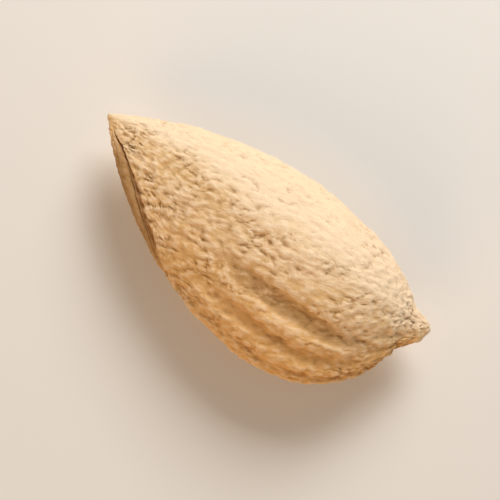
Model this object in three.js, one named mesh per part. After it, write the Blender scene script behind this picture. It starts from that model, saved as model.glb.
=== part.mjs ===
// An almond in its shell: one closed nut, lying on its flatter cheek.
// Millimetres. +X runs from the stem nib to the apex, +Y to the keeled ventral edge and +Z up.
// The origin is on the resting surface, under the middle of the nut's box.
import * as THREE from "three";

// Driving dimensions.
const BODY_LENGTH = 39.0; // between the corners where the two edges meet
const NIB_LENGTH = 1.4;
const NIB_RADIUS = 2.0;
const NIB_LEAN = 24; // degrees from the long axis, towards the dorsal edge
const NIB_OFFSET = 0.4; // from the corner of the base towards the ventral edge
const CHEEK_FLAT = 0.5; // depth of the flattened patch that the nut lies on

// Each outline edge leaves the base and the apex at its own angle from the long axis, in degrees,
// with a handle that says how far it runs before it turns.
const VENTRAL = { side: 1, baseAngle: 86, baseHandle: 21.6, apexAngle: 52, apexHandle: 15.8 };
const DORSAL = { side: -1, baseAngle: 56, baseHandle: 9.1, apexAngle: 33, apexHandle: 17.6 };

// Half the thickness as a share of half the width, at each end.
const PLUMPNESS_AT_BASE = 0.76;
const PLUMPNESS_AT_APEX = 0.57;

// The keel is lifted when the nut lies on its cheek, and the nut twists as it nears the apex. There
// the seam between the valves also climbs a little way onto the upper one. All in degrees.
const ROLL_AT_BASE = 7;
const ROLL_AT_APEX = 22;
const SEAM_CLIMB = 48;
const TWIST_FROM = 0.58;

// The two valves. A section rises from its edges to a crown, which lies a share of half the width
// from the middle, towards the dorsal edge. A low flatness makes the crown a soft ridge, and a low
// sharpness makes the edges steep. Each groove has its place round the section, in degrees from the
// keel, its depth, half its width in degrees and how far along the nut it reaches before it fades.
const UPPER_VALVE = {
  share: 1.06,
  crownOffset: 0.25,
  flatness: 1.35,
  sharpness: 0.52,
  grooves: [
    { at: 20, depth: 0.3, width: 7, reach: 0.72 },
    { at: 44, depth: 0.45, width: 10, reach: 0.66 },
    { at: 68, depth: 0.5, width: 11, reach: 0.62 },
    { at: 98, depth: 0.16, width: 10, reach: 0.42 },
    { at: 119, depth: 0.12, width: 9, reach: 0.36 },
    { at: 140, depth: 0.1, width: 10, reach: 0.3 },
  ],
};
const LOWER_VALVE = {
  share: 0.96,
  crownOffset: 0,
  flatness: 2.25,
  sharpness: 0.62,
  grooves: [
    { at: 23, depth: 0.32, width: 9, reach: 0.7 },
    { at: 46, depth: 0.48, width: 13, reach: 0.62 },
    { at: 71, depth: 0.42, width: 12, reach: 0.6 },
    { at: 94, depth: 0.26, width: 11, reach: 0.46 },
    { at: 117, depth: 0.14, width: 10, reach: 0.38 },
    { at: 141, depth: 0.12, width: 10, reach: 0.32 },
  ],
};
const GROOVE_START = 0.14; // grooves deepen over this share of the length, from the nib
const GROOVE_FADE = 0.24; // and die away over this share

// The two valves meet in a seam: a fine groove round both edges that gapes near the apex.
const SEAM_DEPTH = 0.2;
const BACK_SEAM_DEPTH = 0.14;
const SEAM_GAPE = 0.6;
const SEAM_WIDTH = 3.0; // degrees round the section

// The mesh has more columns near the keel and more rings near the two ends.
const COLUMNS = 88;
const RINGS = 56;
const KEEL_CROWDING = 1.2;
const END_CROWDING = 0.07;
const TIP_CROWDING = 0.01;

const LONG_AXIS = new THREE.Vector3(1, 0, 0);
const NIB_CENTRE = new THREE.Vector3(0, NIB_OFFSET, 0);
const { degToRad, radToDeg, smoothstep, lerp, clamp } = THREE.MathUtils;

function outlineEdge({ side, baseAngle, baseHandle, apexAngle, apexHandle }) {
  const base = new THREE.Vector2(0, 0);
  const apex = new THREE.Vector2(BODY_LENGTH, 0);
  const fromBase = new THREE.Vector2(Math.cos(degToRad(baseAngle)), side * Math.sin(degToRad(baseAngle)));
  const fromApex = new THREE.Vector2(-Math.cos(degToRad(apexAngle)), side * Math.sin(degToRad(apexAngle)));
  return new THREE.CubicBezierCurve(
    base,
    fromBase.multiplyScalar(baseHandle),
    fromApex.multiplyScalar(apexHandle).add(apex),
    apex,
  );
}

const ventralEdge = outlineEdge(VENTRAL);
const dorsalEdge = outlineEdge(DORSAL);

// How far the grooves sink the surface at one place. fromSeam is in degrees, 0 to 180.
function grooveDepth(grooves, along, fromSeam) {
  let depth = 0;
  for (const groove of grooves) {
    const across = (fromSeam - groove.at) / groove.width;
    const fade = 1 - smoothstep(along, groove.reach - GROOVE_FADE, groove.reach);
    depth += groove.depth * fade * Math.max(1 - across * across, 0);
  }
  return depth * smoothstep(along, 0, GROOVE_START);
}

// How far the seam sinks it. The gape is on the ventral side only.
function seamDepth(along, fromSeam) {
  const ends = smoothstep(along, 0.02, 0.1) * (1 - smoothstep(along, 0.86, 0.99));
  const gape = smoothstep(along, 0.68, 0.86);
  const ventral = Math.exp(-((fromSeam / SEAM_WIDTH) ** 2));
  const dorsal = Math.exp(-(((180 - fromSeam) / SEAM_WIDTH) ** 2));
  return ends * (ventral * (SEAM_DEPTH + SEAM_GAPE * gape) + dorsal * BACK_SEAM_DEPTH);
}

// A point of the shell. along runs 0 to 1 from base to apex, and turn goes round from the ventral
// seam, over the upper valve first. Each section spans the two edges and rises to its crown.
function shellPoint(along, turn) {
  const keel = ventralEdge.getPointAt(along);
  const back = dorsalEdge.getPointAt(along);
  const middle = keel.clone().add(back).multiplyScalar(0.5);
  const reach = keel.clone().sub(back).multiplyScalar(0.5);
  const twist = smoothstep(along, TWIST_FROM, 1);

  const climb = (degToRad(SEAM_CLIMB) * twist * (1 + Math.cos(turn))) / 2;
  const across = Math.cos(turn + climb);
  const valve = Math.sin(turn + climb) >= 0 ? UPPER_VALVE : LOWER_VALVE;
  const fromCrown = (across + valve.crownOffset) / (1 + valve.crownOffset * across);
  const rise = (1 - Math.abs(fromCrown) ** valve.flatness) ** valve.sharpness;
  const height = valve.share * rise * reach.length() * lerp(PLUMPNESS_AT_BASE, PLUMPNESS_AT_APEX, along);
  const point = new THREE.Vector3(
    middle.x + reach.x * across,
    middle.y + reach.y * across,
    valve === UPPER_VALVE ? height : -height,
  );

  const fromSeam = radToDeg(Math.acos(clamp(Math.cos(turn), -1, 1)));
  const inwards = new THREE.Vector3(middle.x, middle.y, 0).sub(point).normalize();
  point.addScaledVector(inwards, grooveDepth(valve.grooves, along, fromSeam) + seamDepth(along, fromSeam));
  return point.applyAxisAngle(LONG_AXIS, degToRad(lerp(ROLL_AT_BASE, ROLL_AT_APEX, twist)));
}

// The stem nib: a short blunt beak that pushes out of the base.
function pushNib(point) {
  const near = Math.exp(-((point.distanceTo(NIB_CENTRE) / NIB_RADIUS) ** 4));
  const out = new THREE.Vector3(-Math.cos(degToRad(NIB_LEAN)), -Math.sin(degToRad(NIB_LEAN)), 0);
  return point.addScaledVector(out, NIB_LENGTH * near);
}

// Share of the way along, from a ring's share: rings crowd towards the ends, where the shape turns.
function crowdEnds(share) {
  const turn = 2 * Math.PI * share;
  return clamp(share - END_CROWDING * Math.sin(turn) - TIP_CROWDING * Math.sin(2 * turn), 0, 1);
}

// Angle round the section, from a column's share of the turn: columns crowd towards the keel. At the
// two poles the sphere's columns are half a step out, so the share is kept within one turn.
function crowdKeel(share) {
  const half = Math.max(2 * Math.min(share, 1 - share), 0);
  const turn = Math.PI * half ** KEEL_CROWDING;
  return share <= 0.5 ? turn : 2 * Math.PI - turn;
}

// Presses the patch that the nut lies on flat, and puts it on z = 0 under the middle of the box.
function layDown(geometry) {
  geometry.computeBoundingBox();
  const floor = geometry.boundingBox.min.z + CHEEK_FLAT;
  const place = geometry.getAttribute("position");
  for (let i = 0; i < place.count; i++) place.setZ(i, Math.max(place.getZ(i), floor));
  geometry.computeBoundingBox();
  const { min, max } = geometry.boundingBox;
  geometry.translate(-(min.x + max.x) / 2, -(min.y + max.y) / 2, -min.z);
}

// A sphere with its poles at the two ends is drawn out into the nut, so it is closed from the start.
function nutGeometry() {
  const geometry = new THREE.SphereGeometry(1, COLUMNS, RINGS);
  const place = geometry.getAttribute("position");
  const grid = geometry.getAttribute("uv");
  for (let i = 0; i < place.count; i++) {
    const point = pushNib(shellPoint(crowdEnds(grid.getY(i)), crowdKeel(grid.getX(i))));
    place.setXYZ(i, point.x, point.y, point.z);
  }
  layDown(geometry);
  geometry.computeVertexNormals();
  return geometry;
}

const shellMaterial = new THREE.MeshStandardMaterial({ color: "#d9b585", roughness: 0.85, metalness: 0 });

const nut = new THREE.Mesh(nutGeometry(), shellMaterial);
nut.name = "almond_nut";

const almond = new THREE.Group();
almond.name = "almond";
almond.add(nut);

export default almond;
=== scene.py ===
"""An almond in its shell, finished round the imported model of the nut.

The file is laid out as a Blender add-on and is run as a script. It copies the nut's solid, draws a
finer surface from it, gives that surface its relief and its colours, and sets up the stage.
"""

import math
from collections import namedtuple

import bpy
import numpy as np
from mathutils import Matrix, Vector


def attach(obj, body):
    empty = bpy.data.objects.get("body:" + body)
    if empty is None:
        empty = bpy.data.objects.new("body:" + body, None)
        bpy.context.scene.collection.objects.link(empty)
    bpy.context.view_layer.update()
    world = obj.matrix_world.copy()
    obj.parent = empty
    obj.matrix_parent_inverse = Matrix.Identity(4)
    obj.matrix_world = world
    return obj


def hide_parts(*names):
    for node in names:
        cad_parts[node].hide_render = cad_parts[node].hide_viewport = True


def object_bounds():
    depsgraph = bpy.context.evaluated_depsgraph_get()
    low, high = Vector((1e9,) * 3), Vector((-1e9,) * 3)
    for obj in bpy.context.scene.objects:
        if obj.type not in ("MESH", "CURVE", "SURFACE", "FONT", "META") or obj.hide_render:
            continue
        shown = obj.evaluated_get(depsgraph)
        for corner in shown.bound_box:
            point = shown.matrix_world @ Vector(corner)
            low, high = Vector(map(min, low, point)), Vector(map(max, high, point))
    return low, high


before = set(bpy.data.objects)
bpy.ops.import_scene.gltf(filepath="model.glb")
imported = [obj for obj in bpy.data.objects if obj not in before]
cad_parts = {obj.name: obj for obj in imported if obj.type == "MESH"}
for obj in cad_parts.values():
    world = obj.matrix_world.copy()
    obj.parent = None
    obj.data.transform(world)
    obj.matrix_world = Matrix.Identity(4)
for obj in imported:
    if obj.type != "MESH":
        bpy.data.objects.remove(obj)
CAD_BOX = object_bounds()

bl_info = {
    "name": "Almond in its shell",
    "version": (1, 0, 0),
    "blender": (4, 5, 0),
    "location": "3D View > Sidebar > Almond",
    "description": "Builds the shell of an almond with its seam, grooves, wrinkles and furrows, and a stage",
    "category": "Object",
}

NODE = "almond_nut"
PIECE = "almond_in_shell"
BODY = "root"
MM = 0.001

# How the solid's loose triangles become a net of quads with a crisp seam. WELD_DISTANCE is in metres.
WELD_DISTANCE = 1e-6
QUAD_LIMIT = math.radians(100)
SEAM_ANGLE = math.radians(40)
SEAM_CREASE = 0.7

# The nut's roll about its length, in degrees, how far along it the twist towards the apex starts, and
# the number of slices in which the guides round it are measured.
ROLL_AT_BASE = 7
ROLL_AT_APEX = 22
TWIST_FROM = 0.58
SECTIONS = 140

# How far round the section the seam has climbed at the apex, and how far its gap spreads to each side
# where it gapes. Both are in degrees.
SEAM_CLIMB = 38
SEAM_SPREAD = 9

# The main grooves beside the keel. The middle and half the width are in degrees round the section,
# reach is how far along the nut a groove runs, and share is how much of the groove depth it takes.
Groove = namedtuple("Groove", "middle half_width reach share")
GROOVES = (
    Groove(middle=12, half_width=6, reach=0.68, share=0.5),
    Groove(middle=32, half_width=9, reach=0.70, share=0.9),
    Groove(middle=63, half_width=12, reach=0.68, share=1.6),
)
GROOVE_START = (0.03, 0.14)  # along the nut, where the grooves deepen
GROOVE_FADE = 0.3  # share of the nut's length over which a groove dies away
GROOVE_WAVER = 7.0  # degrees by which the grooves wander in all

# How often the broad patterns repeat in a metre.
WAVERS = 300.0
ROUGH_PATCHES = 280.0
COLOUR_PATCHES = 260.0

# A point is hollow by how far it lies below the surface round it, and a crest where that is negative.
# Hollows take their full painted shade from one depth down, and crests their full painted highlight from
# another up, in millimetres.
SHADED_HOLLOW = 0.14
LIT_CREST = -0.07
HOLLOW_STEPS = 8  # how often the surface is evened out to find what lies round a point

# The stage, in metres. A light's place is how far it is to the right, up and towards the camera from
# the middle of the nut, as the camera sees them.
FLOOR_SIZE = 8.0
KEY_PLACE = (0.090, 0.222, 0.192)
KEY_SIZE = 0.16
KEY_TINT = (1.0, 0.97, 0.93)
FILL_PLACE = (-0.135, -0.225, 0.135)
FILL_SIZE = 0.25
FILL_TINT = (1.0, 0.66, 0.36)
LIGHT_TOP = Vector((0.01, 0.02, 1.0)).normalized()  # the way that the top edge of a light faces
SURROUND_TINT = (0.95, 0.94, 0.92)


# Sizes and colours ---------------------------------------------------------------------------------


def length(name, description, default):
    """A length property, in metres."""
    return bpy.props.FloatProperty(
        name=name, description=description, default=default, subtype="DISTANCE", unit="LENGTH", precision=5
    )


def colour(name, description, default):
    """A colour property, as linear red, green and blue."""
    return bpy.props.FloatVectorProperty(
        name=name, description=description, default=default, size=3, min=0.0, max=1.0, subtype="COLOR"
    )


class AlmondRelief(bpy.types.PropertyGroup):
    """Sizes of the shell's surface, in metres."""

    levels: bpy.props.IntProperty(
        name="Fineness", description="How often each face of the solid is divided", default=2, min=0, max=3
    )
    lump_width: length("Lump width", "Distance from one shallow lump to the next", 5.5 * MM)
    lump_depth: length("Lump depth", "Depth of the hollows between the lumps", 0.5 * MM)
    wrinkle_width: length("Wrinkle width", "Distance across from one wrinkle to the next", 0.6 * MM)
    wrinkle_depth: length("Wrinkle depth", "Depth between the wrinkles", 0.62 * MM)
    furrow_width: length("Furrow width", "Distance across from one short furrow to the next", 1.1 * MM)
    furrow_depth: length("Furrow depth", "Depth of the short furrows", 0.2 * MM)
    grain_width: length("Grain width", "Width of the finest grains of the dry surface", 0.3 * MM)
    grain_depth: length("Grain depth", "Height of the finest grains of the dry surface", 0.16 * MM)
    neck_depth: length("Neck depth", "How far the neck behind the nib's knob is drawn in", 0.15 * MM)
    groove_depth: length("Groove depth", "Depth added to the grooves that run beside the keel", 0.3 * MM)
    swell: length("Swell", "How far the surface is lifted to make up for its furrows", 0.08 * MM)
    seam_depth: length("Seam depth", "Depth added to the seam where it gapes", 0.55 * MM)
    stretch: bpy.props.FloatProperty(
        name="Stretch", description="How many times longer than wide the wrinkles and furrows are",
        default=1.8, min=1.0, max=6.0,
    )
    slant: bpy.props.FloatProperty(
        name="Slant", description="Angle of the wrinkles from the nut's length",
        default=math.radians(-16), subtype="ANGLE", unit="ROTATION",
    )


class AlmondColours(bpy.types.PropertyGroup):
    """Colours of the shell, several of them also laid on as painted light and shade."""

    tan: colour("Tan", "Most of the shell", (0.76, 0.50, 0.24))
    # The shell's own paler patches, and also painted highlight on the dorsal side and on the crests.
    straw_and_highlight: colour("Straw", "The dorsal side, paler patches and worn crests", (0.92, 0.71, 0.49))
    # Partly the shell's own colour beside the keel and partly painted warm shade on that side, which faces
    # away from the light.
    russet_and_warm_shade: colour("Russet", "The grooved ground beside the keel", (0.72, 0.38, 0.11))
    # Painted shade, laid in the grooves, furrows and hollows and on the strip by the seam, where shade
    # falls.
    painted_shade: colour("Bark", "The grooves, furrows and hollows, and the strip by the seam", (0.34, 0.17, 0.05))
    cream: colour("Cream", "The worn tip of the nib", (0.86, 0.62, 0.38))


class AlmondStage(bpy.types.PropertyGroup):
    """Floor, lights and camera."""

    floor: colour("Floor", "The plain floor", (0.80, 0.78, 0.75))
    view_width: length("View width", "Width of what the camera takes in", 52 * MM)
    lens: bpy.props.FloatProperty(
        name="Lens", description="Focal length of the camera", default=180.0, subtype="DISTANCE_CAMERA"
    )
    turn: bpy.props.FloatProperty(
        name="Turn", description="Angle of the nut's length below level in the picture",
        default=math.radians(34.6), subtype="ANGLE", unit="ROTATION",
    )
    key_power: bpy.props.FloatProperty(
        name="Key power", description="Power of the main light", default=0.91, subtype="POWER", unit="POWER"
    )
    fill_power: bpy.props.FloatProperty(
        name="Fill power", description="Power of the warm fill light",
        default=0.48, subtype="POWER", unit="POWER",
    )
    surround: bpy.props.FloatProperty(
        name="Surround", description="Strength of the even light from all round", default=0.24, min=0.0
    )


# Small helpers -------------------------------------------------------------------------------------


def select_only(thing):
    """Selects one object, makes it active and leaves the rest unselected."""
    bpy.ops.object.select_all(action="DESELECT")
    thing.select_set(True)
    bpy.context.view_layer.objects.active = thing


def smoothstep(value, start, end):
    """0 below start and 1 above end, with a smooth turn between them."""
    share = np.clip((value - start) / (end - start), 0, 1)
    return share * share * (3 - 2 * share)


def add(tree, kind, inputs=None, **settings):
    """Adds a node, sets it up and fills its inputs with values or with other nodes' outputs."""
    made = tree.nodes.new(kind)
    for name, value in settings.items():
        setattr(made, name, value)
    for key, value in (inputs or {}).items():
        if isinstance(value, bpy.types.NodeSocket):
            tree.links.new(value, made.inputs[key])
        else:
            made.inputs[key].default_value = value
    return made


def maths(tree, operation, *values):
    """The output of a Math node."""
    return add(tree, "ShaderNodeMath", dict(enumerate(values)), operation=operation).outputs[0]


def product(tree, first, *others):
    """The product of numbers and outputs."""
    for value in others:
        first = maths(tree, "MULTIPLY", first, value)
    return first


def total(tree, first, *others):
    """The sum of numbers and outputs."""
    for value in others:
        first = maths(tree, "ADD", first, value)
    return first


def vectors(tree, operation, *values):
    """A Vector Math node."""
    return add(tree, "ShaderNodeVectorMath", dict(enumerate(values)), operation=operation)


def ramp(tree, value, start, end, low=0.0, high=1.0):
    """value taken smoothly from low to high between start and end."""
    inputs = {"Value": value, "From Min": start, "From Max": end, "To Min": low, "To Max": high}
    return add(tree, "ShaderNodeMapRange", inputs, interpolation_type="SMOOTHSTEP").outputs["Result"]


def noise(tree, place, scale, detail=2.0, roughness=0.5, distortion=0.0):
    """Noise from 0 to 1 round 0.5, at a vector."""
    inputs = {
        "Vector": place, "Scale": scale, "Detail": detail, "Roughness": roughness, "Distortion": distortion
    }
    return add(tree, "ShaderNodeTexNoise", inputs, noise_dimensions="3D").outputs[0]


def centred(tree, pattern, depth):
    """A pattern of 0 to 1 made to run from half the depth above to half the depth below."""
    return product(tree, maths(tree, "SUBTRACT", pattern, 0.5), depth)


def attribute(tree, name):
    """A number stored on the surface, in a geometry or a material tree."""
    if tree.bl_idname == "GeometryNodeTree":
        return add(tree, "GeometryNodeInputNamedAttribute", {"Name": name}).outputs["Attribute"]
    return add(tree, "ShaderNodeAttribute", attribute_name=name).outputs["Fac"]


def from_keel(tree):
    """Degrees round the section from the keel, on either valve."""
    return maths(tree, "ABSOLUTE", attribute(tree, "around"))


# Patterns, shared by the relief and by the colours -------------------------------------------------


def drawn_out(tree, place, relief):
    """place in millimetres, turned to the wrinkles' slant and shortened along it."""
    turned = add(
        tree, "ShaderNodeVectorRotate", {"Vector": place, "Angle": relief.slant}, rotation_type="Z_AXIS"
    ).outputs[0]
    return vectors(tree, "MULTIPLY", turned, (1 / (relief.stretch * MM), 1 / MM, 1 / MM)).outputs[0]


def wrinkle_pattern(tree, grain, relief):
    """Soft wrinkles: 0 on the highest, 1 in the deepest, about a half between."""
    return noise(tree, grain, MM / relief.wrinkle_width, detail=1.0, distortion=0.3)


def furrow_pattern(tree, grain, relief):
    """1 along short, narrow furrows and 0 on the ground between them."""
    wave = noise(tree, grain, MM / relief.furrow_width, distortion=0.4)
    fold = maths(tree, "ABSOLUTE", maths(tree, "SUBTRACT", wave, 0.5))
    broken = ramp(tree, noise(tree, grain, 0.45 * MM / relief.furrow_width), 0.42, 0.62)
    return product(tree, ramp(tree, fold, 0.055, 0.0), broken)


def groove_pattern(tree, place):
    """How deep the grooves beside the keel are, as a share of the groove depth, and 0 on the ridges."""
    along = attribute(tree, "along")
    waver = centred(tree, noise(tree, place, WAVERS), GROOVE_WAVER)
    turn = maths(tree, "ADD", from_keel(tree), waver)
    depth = 0.0
    for groove in GROOVES:
        across = maths(tree, "DIVIDE", maths(tree, "SUBTRACT", turn, groove.middle), groove.half_width)
        trough = maths(tree, "SUBTRACT", 1.0, product(tree, across, across))
        trough = maths(tree, "MAXIMUM", trough, 0.0)
        run = ramp(tree, along, groove.reach, groove.reach - GROOVE_FADE, 0.0, groove.share)
        depth = total(tree, depth, product(tree, trough, run))
    return product(tree, depth, ramp(tree, along, *GROOVE_START))


def seam_guides(tree):
    """How many degrees each point lies past the seam, towards the upper valve, and how widely the seam
    gapes there, from 0 to 1."""
    along = attribute(tree, "along")
    seam = ramp(tree, along, TWIST_FROM, 1.0, 0.0, SEAM_CLIMB)
    past = maths(tree, "SUBTRACT", attribute(tree, "around"), seam)
    gape = product(tree, ramp(tree, along, 0.6, 0.74), ramp(tree, along, 0.98, 0.9))
    return past, gape


def seam_gap(tree):
    """1 along the gap where the seam gapes, near the apex."""
    past, gape = seam_guides(tree)
    return product(tree, ramp(tree, maths(tree, "ABSOLUTE", past), SEAM_SPREAD, 0.0), gape)


def seam_strip(tree):
    """1 on the bare strip of the lower valve that shows where the seam gapes."""
    past, gape = seam_guides(tree)
    return product(tree, ramp(tree, past, -60, -40), ramp(tree, past, 1, -5), gape)


def roughness_mask(tree, place):
    """How rough the shell is: patchy, beaded at the keel, and less on the dorsal side and the tips."""
    along = attribute(tree, "along")
    around = from_keel(tree)
    dorsal = product(tree, ramp(tree, around, 95, 130), ramp(tree, along, 0.2, 0.45, 0.1, 0.5))
    beads = product(tree, ramp(tree, around, 26, 8), ramp(tree, along, 0.72, 0.55))

    smoother_back = maths(tree, "SUBTRACT", 1.0, dorsal)
    rougher_front = ramp(tree, along, 0.5, 0.75, 1.0, 1.2)
    smoother_strip = ramp(tree, seam_strip(tree), 0.0, 1.0, 1.0, 0.4)
    beaded_keel = maths(tree, "MULTIPLY_ADD", beads, 0.2, 1.0)
    smoother_apex = ramp(tree, along, 0.85, 1.0, 1.0, 0.6)
    patches = ramp(tree, noise(tree, place, ROUGH_PATCHES), 0.35, 0.65, 0.85, 1.15)
    smoother_grooves = ramp(tree, groove_pattern(tree, place), 0.2, 1.0, 1.0, 0.7)
    smoother_nib = ramp(tree, along, 0.0, 0.04, 0.45, 1.0)
    return product(
        tree, smoother_back, rougher_front, smoother_strip, beaded_keel, smoother_apex, patches,
        smoother_grooves, smoother_nib,
    )


# The shell's surface -------------------------------------------------------------------------------


def copy_solid(node, name):
    """A copy of the solid's mesh as a new piece, with its loose triangles merged into a net of quads."""
    piece = bpy.data.objects.new(name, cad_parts[node].data.copy())
    bpy.context.scene.collection.objects.link(piece)
    piece.data.materials.clear()
    select_only(piece)
    if piece.data.has_custom_normals:
        bpy.ops.mesh.customdata_custom_splitnormals_clear()
    bpy.ops.object.mode_set(mode="EDIT")
    bpy.ops.mesh.select_all(action="SELECT")
    bpy.ops.mesh.remove_doubles(threshold=WELD_DISTANCE)
    bpy.ops.mesh.tris_convert_to_quads(face_threshold=QUAD_LIMIT, shape_threshold=QUAD_LIMIT)
    bpy.ops.object.mode_set(mode="OBJECT")
    return piece


def crease_seam(piece):
    """Creases the sharpest edges, which are those of the seam, so that dividing doesn't fill it."""
    select_only(piece)
    bpy.ops.object.mode_set(mode="EDIT")
    bpy.ops.mesh.select_mode(type="EDGE")
    bpy.ops.mesh.select_all(action="DESELECT")
    bpy.ops.mesh.edges_select_sharp(sharpness=SEAM_ANGLE)
    bpy.ops.transform.edge_crease(value=SEAM_CREASE)
    bpy.ops.object.mode_set(mode="OBJECT")


def apply(piece, name, kind, **settings):
    """Adds a modifier with these settings and applies it."""
    select_only(piece)
    made = piece.modifiers.new(name, kind)
    for key, value in settings.items():
        setattr(made, key, value)
    bpy.ops.object.modifier_apply(modifier=made.name)


def store_guides(piece):
    """Stores where each point lies on the nut: along, 0 at the nib and 1 at the apex, and around, in
    degrees from the keel, 180 at the dorsal edge and negative on the lower valve."""
    mesh = piece.data
    place = np.empty(len(mesh.vertices) * 3)
    mesh.vertices.foreach_get("co", place)
    place = place.reshape(-1, 3)
    low, high = CAD_BOX
    apex = place[place[:, 0].argmax()]
    along = (place[:, 0] - low.x) / (high.x - low.x)
    roll = np.radians(ROLL_AT_BASE + (ROLL_AT_APEX - ROLL_AT_BASE) * smoothstep(along, TWIST_FROM, 1))
    y, z = place[:, 1] - apex[1], place[:, 2] - apex[2]
    across = y * np.cos(roll) + z * np.sin(roll)
    height = z * np.cos(roll) - y * np.sin(roll)

    section = np.clip((along * SECTIONS).astype(int), 0, SECTIONS - 1)
    centres = (np.arange(SECTIONS) + 0.5) / SECTIONS

    def extent(values):
        """The middle and half the spread of values in each section, at every point."""
        most, least = np.full(SECTIONS, -np.inf), np.full(SECTIONS, np.inf)
        np.maximum.at(most, section, values)
        np.minimum.at(least, section, values)
        return (
            np.interp(along, centres, (most + least) / 2),
            np.interp(along, centres, (most - least) / 2),
        )

    middle, reach = extent(across)
    level, rise = extent(height)
    around = np.degrees(np.arctan2((height - level) / rise, (across - middle) / reach))
    for name, values in (("along", along), ("around", around)):
        stored = mesh.attributes.new(name, "FLOAT", "POINT")
        stored.data.foreach_set("value", values.astype(np.float32))


def sinking(tree, relief, place):
    """How far each point of the surface sinks, by its lumps, wrinkles, furrows, grooves, neck and seam."""
    along = attribute(tree, "along")
    grain = drawn_out(tree, place, relief)
    lumps = centred(tree, noise(tree, place, 1 / relief.lump_width, detail=1.5), relief.lump_depth)
    lumps = product(tree, lumps, ramp(tree, along, 0.02, 0.2))
    wrinkles = centred(tree, wrinkle_pattern(tree, grain, relief), relief.wrinkle_depth)
    furrows = product(tree, furrow_pattern(tree, grain, relief), relief.furrow_depth)
    texture = product(tree, total(tree, wrinkles, furrows), roughness_mask(tree, place))
    grooves = product(tree, groove_pattern(tree, place), relief.groove_depth)
    neck = product(
        tree, ramp(tree, along, 0.005, 0.045), ramp(tree, along, 0.085, 0.045), relief.neck_depth
    )
    seam = product(tree, seam_gap(tree), relief.seam_depth)
    return total(tree, lumps, texture, grooves, neck, seam, -relief.swell)


def hollowness(tree):
    """How far each point lies below the surface round it, in millimetres."""
    place = add(tree, "GeometryNodeInputPosition").outputs[0]
    normal = add(tree, "GeometryNodeInputNormal").outputs[0]
    inputs = {"Value": place, "Iterations": HOLLOW_STEPS}
    blurred = add(tree, "GeometryNodeBlurAttribute", inputs, data_type="FLOAT_VECTOR").outputs[0]
    lift = vectors(tree, "SUBTRACT", blurred, place).outputs[0]
    depth = vectors(tree, "DOT_PRODUCT", lift, normal).outputs["Value"]
    return maths(tree, "DIVIDE", depth, MM)


def relief_tree(relief):
    """Geometry nodes that sink the surface by its relief, and then store how hollow each point is."""
    tree = bpy.data.node_groups.new("Shell relief", "GeometryNodeTree")
    for side in ("INPUT", "OUTPUT"):
        tree.interface.new_socket("Geometry", in_out=side, socket_type="NodeSocketGeometry")
    start = add(tree, "NodeGroupInput").outputs[0]
    place = add(tree, "GeometryNodeInputPosition").outputs[0]
    normal = add(tree, "GeometryNodeInputNormal").outputs[0]
    lift = maths(tree, "MULTIPLY", sinking(tree, relief, place), -1.0)
    offset = add(tree, "ShaderNodeVectorMath", {0: normal, "Scale": lift}, operation="SCALE").outputs[0]
    sunk = add(tree, "GeometryNodeSetPosition", {"Geometry": start, "Offset": offset}).outputs[0]
    stored = add(
        tree, "GeometryNodeStoreNamedAttribute",
        {"Geometry": sunk, "Name": "hollow", "Value": hollowness(tree)},
        data_type="FLOAT", domain="POINT",
    ).outputs[0]
    add(tree, "NodeGroupOutput", {0: stored})
    return tree


def settle(piece):
    """Lowers the finished surface until its lowest point is back on the surface that it lies on."""
    select_only(piece)
    drop = min(vertex.co.z for vertex in piece.data.vertices)
    bpy.ops.object.mode_set(mode="EDIT")
    bpy.ops.mesh.select_all(action="SELECT")
    bpy.ops.transform.translate(value=(0, 0, -drop))
    bpy.ops.object.mode_set(mode="OBJECT")


# The shell's material ------------------------------------------------------------------------------

# A Mix node has sockets of the same names for each kind of value. These are the ones for colours.
MIX_UNDER = 6
MIX_OVER = 7
MIX_RESULT = 2


def cover(tree, under, over, share):
    """under with a share of it covered by over. Both are colours or outputs."""
    made = add(tree, "ShaderNodeMix", {"Factor": share}, data_type="RGBA")
    for key, value in ((MIX_UNDER, under), (MIX_OVER, over)):
        if isinstance(value, bpy.types.NodeSocket):
            tree.links.new(value, made.inputs[key])
        else:
            made.inputs[key].default_value = (*value, 1.0)
    return made.outputs[MIX_RESULT]


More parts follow.
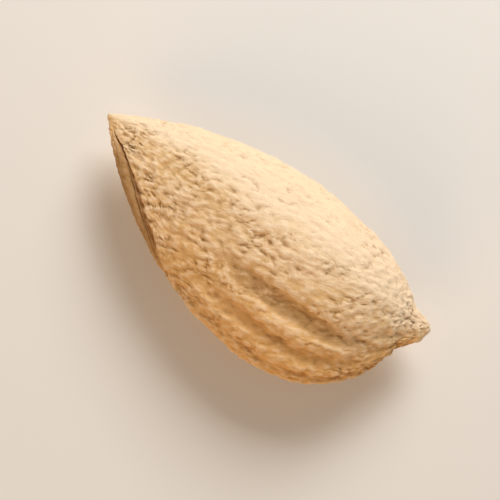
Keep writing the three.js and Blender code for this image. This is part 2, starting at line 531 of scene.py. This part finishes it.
def shell_colour(tree, relief, colours, place, grain):
    """Tan with pale yellow patches, the shell's own tone. Painted highlight in pale yellow on the dorsal
    side, most on its upper parts, and on the crests; orange-brown beside the keel, partly the shell's own
    colour and partly painted warm shade; and painted shade in deep brown in the grooves, furrows and hollows
    and on the strip by the seam."""
    along = attribute(tree, "along")
    around = from_keel(tree)
    hollow = attribute(tree, "hollow")
    height = add(tree, "ShaderNodeSeparateXYZ", {"Vector": place}).outputs["Z"]

    patches = ramp(tree, noise(tree, place, COLOUR_PATCHES, detail=4.0), 0.38, 0.62)
    # Painted highlight: paler on the dorsal side, which faces the light, and more so on the upper parts.
    dorsal = product(tree, ramp(tree, around, 90, 122), ramp(tree, height, 2 * MM, 6 * MM, 0.3, 0.8))
    # Partly the shell's own colour and partly painted warm shade: more orange beside the keel, away from the
    # light, and more so towards the base.
    keel = product(tree, ramp(tree, around, 95, 25), ramp(tree, along, 0.9, 0.3, 0.35, 1.0))
    # Painted shade in the grooves beside the keel.
    grooves = ramp(tree, groove_pattern(tree, place), 0.3, 1.3, 0.0, 0.4)
    # Painted shade in the furrows.
    furrows = product(tree, furrow_pattern(tree, grain, relief), roughness_mask(tree, place))
    # Painted shade in the hollows, weaker near the keel's edge.
    less_at_edge = ramp(tree, around, 30, 5, 1.0, 0.6)
    shaded_hollows = product(tree, ramp(tree, hollow, 0.0, SHADED_HOLLOW, 0.0, 0.5), less_at_edge)
    # Painted highlight on the crests, weaker beside the keel.
    less_by_keel = ramp(tree, keel, 0.0, 1.0, 1.0, 0.5)
    pale = product(tree, ramp(tree, hollow, 0.0, LIT_CREST, 0.0, 0.6), less_by_keel)
    nib = ramp(tree, along, 0.025, 0.0, 0.0, 0.7)

    skin = colours.tan
    for paint, share in (
        (colours.straw_and_highlight, product(tree, patches, 0.45)),
        (colours.straw_and_highlight, dorsal),
        (colours.russet_and_warm_shade, product(tree, keel, 0.8)),
        (colours.painted_shade, grooves),
        (colours.painted_shade, product(tree, furrows, 0.3)),
        (colours.painted_shade, shaded_hollows),
        (colours.straw_and_highlight, pale),
        # Painted shade on the strip of the lower valve by the seam, which faces away from the light.
        (colours.painted_shade, product(tree, seam_strip(tree), 0.8)),
        (colours.cream, nib),
    ):
        skin = cover(tree, skin, paint, share)
    return skin


def shell_material(relief, colours):
    """Dry, matt shell with a fine grain."""
    material = bpy.data.materials.new("almond_shell")
    material.use_nodes = True
    tree = material.node_tree
    shader = tree.nodes["Principled BSDF"]
    place = add(tree, "ShaderNodeTexCoord").outputs["Object"]
    grain = drawn_out(tree, place, relief)
    tree.links.new(shell_colour(tree, relief, colours, place, grain), shader.inputs["Base Color"])

    fine = noise(tree, grain, MM / relief.grain_width, detail=3.0, roughness=0.6)
    bump = add(tree, "ShaderNodeBump", {"Height": fine, "Strength": 1.0, "Distance": relief.grain_depth})
    tree.links.new(bump.outputs[0], shader.inputs["Normal"])
    tree.links.new(ramp(tree, fine, 0.3, 0.7, 0.75, 0.9), shader.inputs["Roughness"])
    shader.inputs["Specular IOR Level"].default_value = 0.3
    return material


class ALMOND_OT_shell(bpy.types.Operator):
    """Model the almond's shell over its solid"""

    bl_idname = "almond.shell"
    bl_label = "Shell"
    bl_options = {"REGISTER", "UNDO"}

    def execute(self, context):
        relief, colours = context.scene.almond_relief, context.scene.almond_colours
        piece = copy_solid(NODE, PIECE)
        crease_seam(piece)
        apply(piece, "Finer", "SUBSURF", levels=relief.levels, render_levels=relief.levels)
        store_guides(piece)
        apply(piece, "Relief", "NODES", node_group=relief_tree(relief))
        settle(piece)
        select_only(piece)
        bpy.ops.object.shade_smooth()
        piece.data.materials.append(shell_material(relief, colours))
        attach(piece, BODY)
        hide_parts(NODE)
        return {"FINISHED"}


# The stage -----------------------------------------------------------------------------------------


def add_floor(tint):
    """A plain floor that reaches far past the nut."""
    bpy.ops.object.select_all(action="DESELECT")
    bpy.ops.mesh.primitive_plane_add(size=FLOOR_SIZE, location=(0, 0, 0))
    floor = bpy.context.object
    floor.name = "floor"
    material = bpy.data.materials.new("plain_floor")
    material.use_nodes = True
    shader = material.node_tree.nodes["Principled BSDF"]
    shader.inputs["Base Color"].default_value = (*tint, 1.0)
    shader.inputs["Roughness"].default_value = 0.9
    floor.data.materials.append(material)


def aim(thing, place, target, up):
    """Puts a camera or light at place, looking at target with up at the top of its picture."""
    back = (place - target).normalized()
    right = up.cross(back).normalized()
    turned = Matrix((right, back.cross(right), back)).transposed()
    thing.matrix_world = Matrix.Translation(place) @ turned.to_4x4()


def add_camera(settings, middle, up):
    """A camera straight above the nut that takes in the view width."""
    scene = bpy.context.scene
    lens = bpy.data.cameras.new("camera")
    lens.lens = settings.lens
    lens.clip_start = 0.01
    lens.clip_end = 20.0
    camera = bpy.data.objects.new("camera", lens)
    scene.collection.objects.link(camera)
    distance = settings.view_width * lens.lens / lens.sensor_width
    aim(camera, middle + Vector((0, 0, distance)), middle, up)
    scene.camera = camera


def add_light(name, place, target, size, power, tint):
    """A square soft light."""
    lamp = bpy.data.lights.new(name, "AREA")
    lamp.shape = "SQUARE"
    lamp.size = size
    lamp.energy = power
    lamp.color = tint
    light = bpy.data.objects.new(name, lamp)
    bpy.context.scene.collection.objects.link(light)
    aim(light, place, target, LIGHT_TOP)


def add_surround(strength):
    """Even light from all round."""
    world = bpy.data.worlds.new("surround")
    world.use_nodes = True
    background = world.node_tree.nodes["Background"]
    background.inputs["Color"].default_value = (*SURROUND_TINT, 1.0)
    background.inputs["Strength"].default_value = strength
    bpy.context.scene.world = world


class ALMOND_OT_stage(bpy.types.Operator):
    """Set up the floor, the lights and the camera"""

    bl_idname = "almond.stage"
    bl_label = "Stage"
    bl_options = {"REGISTER", "UNDO"}

    def execute(self, context):
        settings = context.scene.almond_stage
        low, high = CAD_BOX
        middle = (low + high) / 2
        turn = settings.turn
        up = Vector((math.sin(turn), -math.cos(turn), 0))
        right = Vector((-math.cos(turn), -math.sin(turn), 0))
        seen = Matrix((right, up, (0, 0, 1))).transposed()

        add_floor(settings.floor)
        add_camera(settings, middle, up)
        key = middle + seen @ Vector(KEY_PLACE)
        fill = middle + seen @ Vector(FILL_PLACE)
        add_light("key", key, middle, KEY_SIZE, settings.key_power, KEY_TINT)
        add_light("fill", fill, middle, FILL_SIZE, settings.fill_power, FILL_TINT)
        add_surround(settings.surround)
        context.scene.view_settings.view_transform = "Standard"
        return {"FINISHED"}


# The add-on ----------------------------------------------------------------------------------------


class ALMOND_PT_build(bpy.types.Panel):
    """The almond's operators and settings"""

    bl_idname = "ALMOND_PT_build"
    bl_label = "Almond"
    bl_space_type = "VIEW_3D"
    bl_region_type = "UI"
    bl_category = "Almond"

    def draw(self, context):
        scene = context.scene
        for operator, settings in (
            ("almond.shell", (scene.almond_relief, scene.almond_colours)),
            ("almond.stage", (scene.almond_stage,)),
        ):
            box = self.layout.box()
            box.operator(operator)
            for group in settings:
                for name in group.bl_rna.properties.keys():
                    if name not in ("rna_type", "name"):
                        box.prop(group, name)


CLASSES = (AlmondRelief, AlmondColours, AlmondStage, ALMOND_OT_shell, ALMOND_OT_stage, ALMOND_PT_build)


def register():
    for cls in CLASSES:
        bpy.utils.register_class(cls)
    bpy.types.Scene.almond_relief = bpy.props.PointerProperty(type=AlmondRelief)
    bpy.types.Scene.almond_colours = bpy.props.PointerProperty(type=AlmondColours)
    bpy.types.Scene.almond_stage = bpy.props.PointerProperty(type=AlmondStage)


def unregister():
    del bpy.types.Scene.almond_stage
    del bpy.types.Scene.almond_colours
    del bpy.types.Scene.almond_relief
    for cls in reversed(CLASSES):
        bpy.utils.unregister_class(cls)


def main():
    register()
    bpy.ops.almond.stage()
    bpy.ops.almond.shell()


if __name__ == "__main__":
    main()
